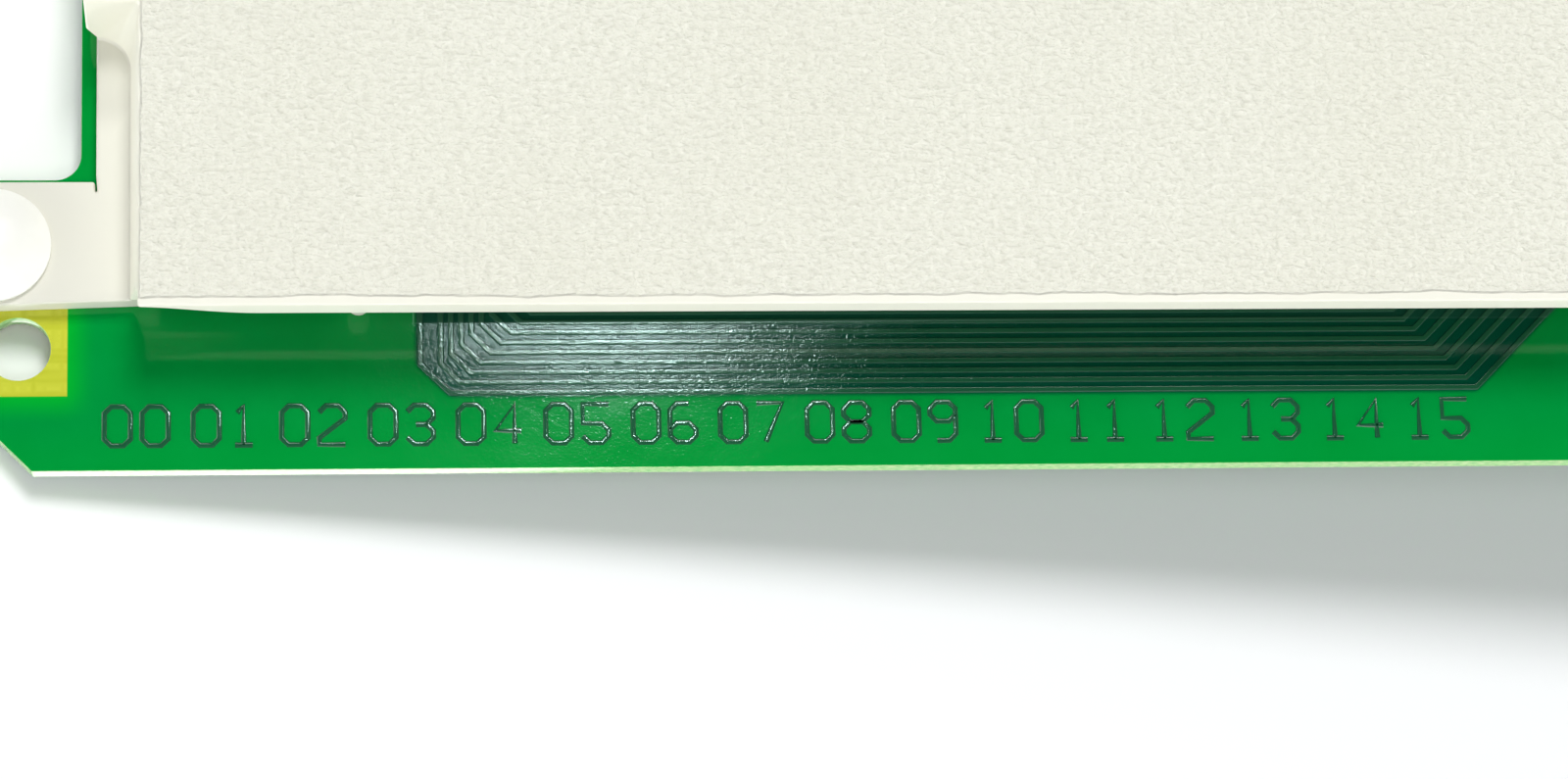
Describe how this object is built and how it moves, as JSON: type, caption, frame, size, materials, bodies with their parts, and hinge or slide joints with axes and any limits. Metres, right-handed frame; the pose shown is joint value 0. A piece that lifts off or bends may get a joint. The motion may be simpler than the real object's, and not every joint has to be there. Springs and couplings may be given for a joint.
{
  "type": "plc output module",
  "caption": "Rack-mounted controller output module: a green circuit board with rear contact tabs, a riveted cream cover over its solder side and a moulded front bezel.",
  "frame": {"origin": "middle of the module's footprint, on the plane of the bezel's lower side", "axes": "+X from the rear ears to the front, +Y along the module's height, +Z out of the solder side"},
  "size_m": [0.186, 0.29, 0.035],
  "materials": {
    "solder_mask": "green solder mask",
    "masked_copper": "copper under mask",
    "contact_plating": "gold plating",
    "cover_plastic": "fine moulded grain",
    "nylon": "smooth moulded",
    "bezel_plastic": "fine moulded grain",
    "screw_steel": "zinc plated",
    "lens_plastic": "clear red",
    "lamp_epoxy": "tinted epoxy",
    "relay_case": "moulded case",
    "varistor_coat": "dipped epoxy",
    "fuse_glass": "clear tube",
    "clip_metal": "tinned spring sheet",
    "package_epoxy": "moulded epoxy",
    "network_coat": "dipped epoxy",
    "ceramic_coat": "dipped epoxy",
    "can_sleeve": "shrunk sleeve"
  },
  "bodies": {
    "root": {"circuit_board": "solder_mask", "solder_traces": "masked_copper", "rear_contacts": "contact_plating", "front_contacts": "contact_plating", "solder_cover": "cover_plastic", "cover_rivets": "nylon", "front_bezel": "bezel_plastic", "bezel_screws": "screw_steel", "indicator_lens": "lens_plastic", "output_led_1": "lamp_epoxy", "output_led_2": "lamp_epoxy", "output_led_3": "lamp_epoxy", "output_led_4": "lamp_epoxy", "output_led_5": "lamp_epoxy", "output_led_6": "lamp_epoxy", "output_led_7": "lamp_epoxy", "output_led_8": "lamp_epoxy", "output_relay_1": "relay_case", "output_relay_2": "relay_case", "output_relay_3": "relay_case", "output_relay_4": "relay_case", "output_relay_5": "relay_case", "output_relay_6": "relay_case", "output_relay_7": "relay_case", "output_relay_8": "relay_case", "surge_varistor_1": "varistor_coat", "surge_varistor_2": "varistor_coat", "surge_varistor_3": "varistor_coat", "surge_varistor_4": "varistor_coat", "surge_varistor_5": "varistor_coat", "surge_varistor_6": "varistor_coat", "surge_varistor_7": "varistor_coat", "surge_varistor_8": "varistor_coat", "output_fuse_1": "fuse_glass", "output_fuse_2": "fuse_glass", "output_fuse_3": "fuse_glass", "output_fuse_4": "fuse_glass", "output_fuse_5": "fuse_glass", "output_fuse_6": "fuse_glass", "output_fuse_7": "fuse_glass", "output_fuse_8": "fuse_glass", "fuse_clips": "clip_metal", "bus_buffer_ic": "package_epoxy", "address_decoder_ic": "package_epoxy", "data_latch_ic": "package_epoxy", "relay_driver_ic": "package_epoxy", "opto_coupler_1": "package_epoxy", "opto_coupler_2": "package_epoxy", "opto_coupler_3": "package_epoxy", "opto_coupler_4": "package_epoxy", "opto_coupler_5": "package_epoxy", "opto_coupler_6": "package_epoxy", "opto_coupler_7": "package_epoxy", "opto_coupler_8": "package_epoxy", "resistor_networks": "network_coat", "bypass_capacitors": "ceramic_coat", "filter_capacitor": "can_sleeve"}
  },
  "joints": []
}
